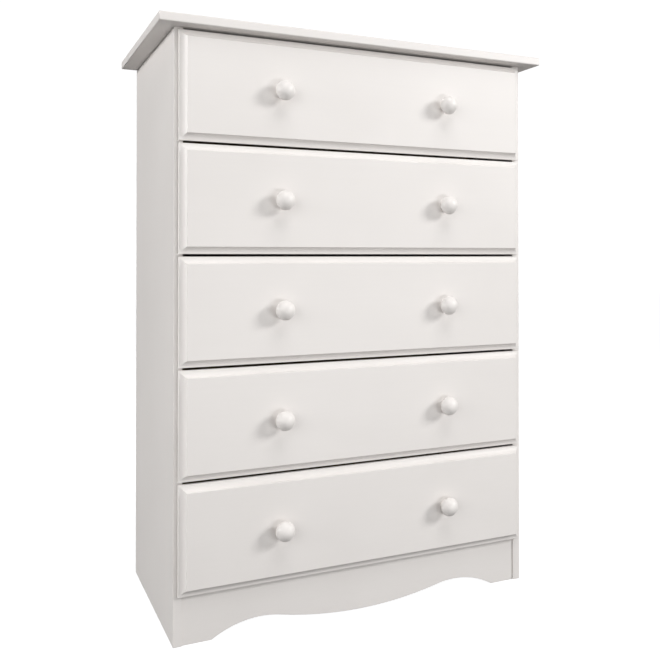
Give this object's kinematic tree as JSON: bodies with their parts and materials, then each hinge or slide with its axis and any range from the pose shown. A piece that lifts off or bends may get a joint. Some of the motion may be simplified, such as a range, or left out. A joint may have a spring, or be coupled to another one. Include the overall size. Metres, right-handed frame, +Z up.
{
  "type": "tall chest of drawers",
  "caption": "Tall white-painted chest of wide drawers with round wooden knobs, coved drawer fronts, an overhanging top and a scalloped apron between side panels that reach the floor.",
  "frame": {"origin": "on the floor, under the middle of the overall box, knobs included", "axes": "+Z up, +X to the right of a person facing the drawers, the drawers open towards -Y"},
  "size_m": [0.885, 0.4536, 1.214],
  "materials": {
    "white_paint": "satin white paint over pine boards",
    "painted_hardboard": "matt white hardboard",
    "bare_pine": "sanded, unfinished pine",
    "coated_rail": "white epoxy coating on pressed steel",
    "screw_steel": "bright zinc plate",
    "nylon": "moulded nylon"
  },
  "bodies": {
    "carcass": {"top_panel": "white_paint", "left_side_panel": "white_paint", "right_side_panel": "white_paint", "back_panel": "painted_hardboard", "front_apron": "white_paint", "front_top_rail": "white_paint", "rear_rails": "white_paint", "carcass_dowels": "bare_pine", "cabinet_rails": "coated_rail", "cabinet_rail_screws": "screw_steel"},
    "drawer_1": {"drawer_1_front": "white_paint", "drawer_1_left_side": "bare_pine", "drawer_1_right_side": "bare_pine", "drawer_1_back": "bare_pine", "drawer_1_bottom": "bare_pine", "drawer_1_knobs": "white_paint", "drawer_1_knob_screws": "screw_steel", "drawer_1_rails": "coated_rail"},
    "drawer_1_front_rollers": {"drawer_1_front_rollers": "nylon"},
    "drawer_1_rear_rollers": {"drawer_1_rear_rollers": "nylon"},
    "drawer_2": {"drawer_2_front": "white_paint", "drawer_2_left_side": "bare_pine", "drawer_2_right_side": "bare_pine", "drawer_2_back": "bare_pine", "drawer_2_bottom": "bare_pine", "drawer_2_knobs": "white_paint", "drawer_2_knob_screws": "screw_steel", "drawer_2_rails": "coated_rail"},
    "drawer_2_front_rollers": {"drawer_2_front_rollers": "nylon"},
    "drawer_2_rear_rollers": {"drawer_2_rear_rollers": "nylon"},
    "drawer_3": {"drawer_3_front": "white_paint", "drawer_3_left_side": "bare_pine", "drawer_3_right_side": "bare_pine", "drawer_3_back": "bare_pine", "drawer_3_bottom": "bare_pine", "drawer_3_knobs": "white_paint", "drawer_3_knob_screws": "screw_steel", "drawer_3_rails": "coated_rail"},
    "drawer_3_front_rollers": {"drawer_3_front_rollers": "nylon"},
    "drawer_3_rear_rollers": {"drawer_3_rear_rollers": "nylon"},
    "drawer_4": {"drawer_4_front": "white_paint", "drawer_4_left_side": "bare_pine", "drawer_4_right_side": "bare_pine", "drawer_4_back": "bare_pine", "drawer_4_bottom": "bare_pine", "drawer_4_knobs": "white_paint", "drawer_4_knob_screws": "screw_steel", "drawer_4_rails": "coated_rail"},
    "drawer_4_front_rollers": {"drawer_4_front_rollers": "nylon"},
    "drawer_4_rear_rollers": {"drawer_4_rear_rollers": "nylon"},
    "drawer_5": {"drawer_5_front": "white_paint", "drawer_5_left_side": "bare_pine", "drawer_5_right_side": "bare_pine", "drawer_5_back": "bare_pine", "drawer_5_bottom": "bare_pine", "drawer_5_knobs": "white_paint", "drawer_5_knob_screws": "screw_steel", "drawer_5_rails": "coated_rail"},
    "drawer_5_front_rollers": {"drawer_5_front_rollers": "nylon"},
    "drawer_5_rear_rollers": {"drawer_5_rear_rollers": "nylon"}
  },
  "joints": [
    {"name": "drawer_1_slide", "type": "slide", "parent": "carcass", "child": "drawer_1", "axis": [0, -1, 0], "range_m": [0, 0.284]},
    {"name": "drawer_1_front_roller_turn", "type": "hinge", "parent": "carcass", "child": "drawer_1_front_rollers", "pos_m": [0, -0.14125, 0.999], "axis": [1, 0, 0], "range_deg": [-5, 1526]},
    {"name": "drawer_1_rear_roller_turn", "type": "hinge", "parent": "drawer_1", "child": "drawer_1_rear_rollers", "pos_m": [0, 0.16475, 0.999], "axis": [1, 0, 0], "range_deg": [-5, 1526]},
    {"name": "drawer_2_slide", "type": "slide", "parent": "carcass", "child": "drawer_2", "axis": [0, -1, 0], "range_m": [0, 0.284]},
    {"name": "drawer_2_front_roller_turn", "type": "hinge", "parent": "carcass", "child": "drawer_2_front_rollers", "pos_m": [0, -0.14125, 0.7795], "axis": [1, 0, 0], "range_deg": [-5, 1526]},
    {"name": "drawer_2_rear_roller_turn", "type": "hinge", "parent": "drawer_2", "child": "drawer_2_rear_rollers", "pos_m": [0, 0.16475, 0.7795], "axis": [1, 0, 0], "range_deg": [-5, 1526]},
    {"name": "drawer_3_slide", "type": "slide", "parent": "carcass", "child": "drawer_3", "axis": [0, -1, 0], "range_m": [0, 0.284]},
    {"name": "drawer_3_front_roller_turn", "type": "hinge", "parent": "carcass", "child": "drawer_3_front_rollers", "pos_m": [0, -0.14125, 0.56], "axis": [1, 0, 0], "range_deg": [-5, 1526]},
    {"name": "drawer_3_rear_roller_turn", "type": "hinge", "parent": "drawer_3", "child": "drawer_3_rear_rollers", "pos_m": [0, 0.16475, 0.56], "axis": [1, 0, 0], "range_deg": [-5, 1526]},
    {"name": "drawer_4_slide", "type": "slide", "parent": "carcass", "child": "drawer_4", "axis": [0, -1, 0], "range_m": [0, 0.284]},
    {"name": "drawer_4_front_roller_turn", "type": "hinge", "parent": "carcass", "child": "drawer_4_front_rollers", "pos_m": [0, -0.14125, 0.3405], "axis": [1, 0, 0], "range_deg": [-5, 1526]},
    {"name": "drawer_4_rear_roller_turn", "type": "hinge", "parent": "drawer_4", "child": "drawer_4_rear_rollers", "pos_m": [0, 0.16475, 0.3405], "axis": [1, 0, 0], "range_deg": [-5, 1526]},
    {"name": "drawer_5_slide", "type": "slide", "parent": "carcass", "child": "drawer_5", "axis": [0, -1, 0], "range_m": [0, 0.284]},
    {"name": "drawer_5_front_roller_turn", "type": "hinge", "parent": "carcass", "child": "drawer_5_front_rollers", "pos_m": [0, -0.14125, 0.121], "axis": [1, 0, 0], "range_deg": [-5, 1526]},
    {"name": "drawer_5_rear_roller_turn", "type": "hinge", "parent": "drawer_5", "child": "drawer_5_rear_rollers", "pos_m": [0, 0.16475, 0.121], "axis": [1, 0, 0], "range_deg": [-5, 1526]}
  ],
  "couplings": [
    {"joint": "drawer_1_front_roller_turn", "follows": "drawer_1_slide", "rad_per_m": 93.458},
    {"joint": "drawer_1_rear_roller_turn", "follows": "drawer_1_slide", "rad_per_m": 93.458},
    {"joint": "drawer_2_front_roller_turn", "follows": "drawer_2_slide", "rad_per_m": 93.458},
    {"joint": "drawer_2_rear_roller_turn", "follows": "drawer_2_slide", "rad_per_m": 93.458},
    {"joint": "drawer_3_front_roller_turn", "follows": "drawer_3_slide", "rad_per_m": 93.458},
    {"joint": "drawer_3_rear_roller_turn", "follows": "drawer_3_slide", "rad_per_m": 93.458},
    {"joint": "drawer_4_front_roller_turn", "follows": "drawer_4_slide", "rad_per_m": 93.458},
    {"joint": "drawer_4_rear_roller_turn", "follows": "drawer_4_slide", "rad_per_m": 93.458},
    {"joint": "drawer_5_front_roller_turn", "follows": "drawer_5_slide", "rad_per_m": 93.458},
    {"joint": "drawer_5_rear_roller_turn", "follows": "drawer_5_slide", "rad_per_m": 93.458}
  ]
}
